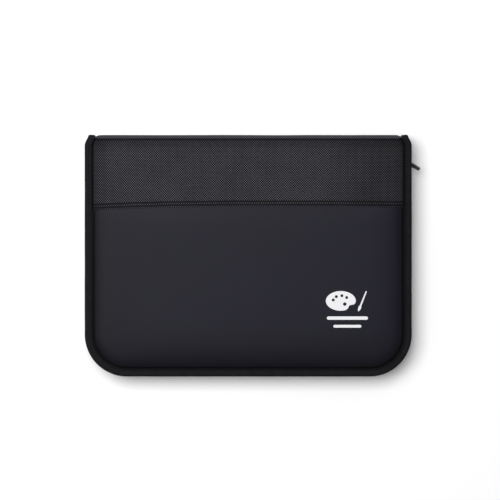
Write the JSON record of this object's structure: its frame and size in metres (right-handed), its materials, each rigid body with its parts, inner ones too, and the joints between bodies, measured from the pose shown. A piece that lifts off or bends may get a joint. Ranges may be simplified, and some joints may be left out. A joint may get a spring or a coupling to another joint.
{
  "type": "zip-round portfolio case",
  "caption": "Flat padded art portfolio case: two cloth covers with bound rims fold about a padded spine and zip shut on three sides; brush elastics and a slip pocket inside.",
  "frame": {"origin": "middle of the back cover's flat outer face, which the case lies on", "axes": "+X along the spine, +Y towards the spine, +Z out of the front cover; right-handed, metres"},
  "size_m": [0.3602, 0.258, 0.028],
  "materials": {
    "smooth_cloth": "tight black coated nylon, faint satin sheen",
    "ballistic_cloth": "coarse black basket-weave nylon",
    "binding_tape": "black ribbed binding tape with a row of stitches",
    "zipper_cloth": "black herringbone zipper tape",
    "lining": "matte black lining nylon",
    "elastic": "black ribbed elastic webbing",
    "foam": "grey padding foam, hidden",
    "board": "grey stiffening board, hidden",
    "coil": "black nylon coil",
    "zipper_metal": "grey plated metal, lightly worn"
  },
  "bodies": {
    "back": {"back_skin_smooth": "smooth_cloth", "back_skin_woven": "ballistic_cloth", "back_foam": "foam", "back_board": "board", "back_lining": "lining", "back_binding": "binding_tape", "back_zipper_tape": "zipper_cloth", "back_zipper_coil": "coil", "back_top_stop": "zipper_metal", "brush_elastic_upper": "elastic", "brush_elastic_lower": "elastic"},
    "spine": {"spine_skin_woven": "ballistic_cloth", "spine_foam": "foam", "spine_board": "board", "spine_lining": "lining", "spine_binding_right": "binding_tape", "spine_binding_left": "binding_tape", "end_gusset_right": "zipper_cloth", "end_gusset_left": "zipper_cloth"},
    "front": {"front_skin_smooth": "smooth_cloth", "front_skin_woven": "ballistic_cloth", "front_foam": "foam", "front_board": "board", "front_lining": "lining", "front_binding": "binding_tape", "front_zipper_tape": "zipper_cloth", "front_zipper_coil": "coil", "front_top_stop": "zipper_metal", "pocket_panel": "lining", "pocket_binding": "binding_tape"},
    "slider": {"slider_body": "zipper_metal", "slider_bridge": "zipper_metal"},
    "pull": {"pull_tab": "zipper_metal"}
  },
  "joints": [
    {"name": "spine_fold", "type": "hinge", "parent": "back", "child": "spine", "pos_m": [0, 0.1265, 0.0025], "axis": [-1, 0, 0], "range_deg": [0, 90]},
    {"name": "cover_fold", "type": "hinge", "parent": "spine", "child": "front", "pos_m": [0, 0.1265, 0.0255], "axis": [-1, 0, 0], "range_deg": [0, 90]},
    {"name": "slider_travel", "type": "slide", "parent": "back", "child": "slider", "axis": [0, -1, 0], "range_m": [0, 0.178]},
    {"name": "pull_swing", "type": "hinge", "parent": "slider", "child": "pull", "pos_m": [0.17146, 0.101, 0.014], "axis": [0, 0, 1], "range_deg": [-58, 118]}
  ]
}
